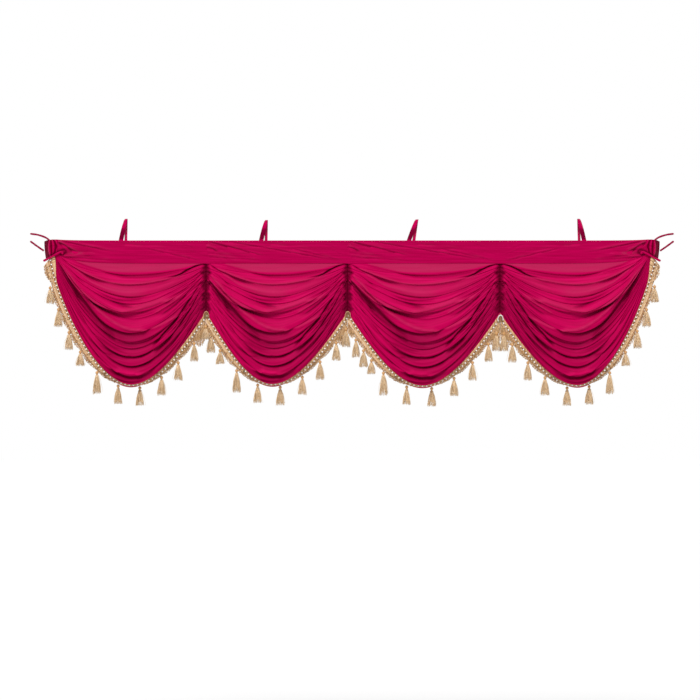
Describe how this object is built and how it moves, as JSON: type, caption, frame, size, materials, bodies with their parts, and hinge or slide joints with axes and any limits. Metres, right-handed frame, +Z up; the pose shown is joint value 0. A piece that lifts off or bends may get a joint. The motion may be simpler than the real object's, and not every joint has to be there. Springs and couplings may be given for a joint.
{
  "type": "swag valance curtain",
  "caption": "Wide satin valance: a flat header band over gathered swags edged with gold braid and tassels, with hanging loops and end ties.",
  "frame": {"origin": "middle of the header's top edge, at mid-thickness", "axes": "+X along the valance to the viewer's right, +Z up, the front faces -Y"},
  "size_m": [3.1368, 0.0957, 0.9117],
  "materials": {
    "satin": "satin",
    "gold_braid": "woven, beaded",
    "gold_thread": "silky thread"
  },
  "bodies": {
    "root": {"header": "satin", "pleats_left": "satin", "pleats_right": "satin", "swag_1": "satin", "braid_1": "gold_braid", "loop_1": "satin", "swag_2": "satin", "braid_2": "gold_braid", "loop_2": "satin", "swag_3": "satin", "braid_3": "gold_braid", "loop_3": "satin", "swag_4": "satin", "braid_4": "gold_braid", "loop_4": "satin", "tassel_01": "gold_thread", "tassel_02": "gold_thread", "tassel_03": "gold_thread", "tassel_04": "gold_thread", "tassel_05": "gold_thread", "tassel_06": "gold_thread", "tassel_07": "gold_thread", "tassel_08": "gold_thread", "tassel_09": "gold_thread", "tassel_10": "gold_thread", "tassel_11": "gold_thread", "tassel_12": "gold_thread", "tassel_13": "gold_thread", "tassel_14": "gold_thread", "tassel_15": "gold_thread", "tassel_16": "gold_thread", "tassel_17": "gold_thread", "tassel_18": "gold_thread", "tassel_19": "gold_thread", "tassel_20": "gold_thread", "tassel_21": "gold_thread", "tassel_22": "gold_thread", "tassel_23": "gold_thread", "tassel_24": "gold_thread", "tassel_25": "gold_thread", "tassel_26": "gold_thread", "tassel_27": "gold_thread", "tassel_28": "gold_thread", "tassel_29": "gold_thread", "tassel_30": "gold_thread", "tassel_31": "gold_thread", "tassel_32": "gold_thread", "tassel_33": "gold_thread", "tassel_34": "gold_thread", "tassel_35": "gold_thread", "tassel_36": "gold_thread", "tassel_37": "gold_thread", "tassel_38": "gold_thread", "tassel_39": "gold_thread", "tassel_40": "gold_thread", "tassel_41": "gold_thread", "tie_left_upper": "satin", "tie_left_lower": "satin", "tie_right_upper": "satin", "tie_right_lower": "satin"}
  },
  "joints": []
}
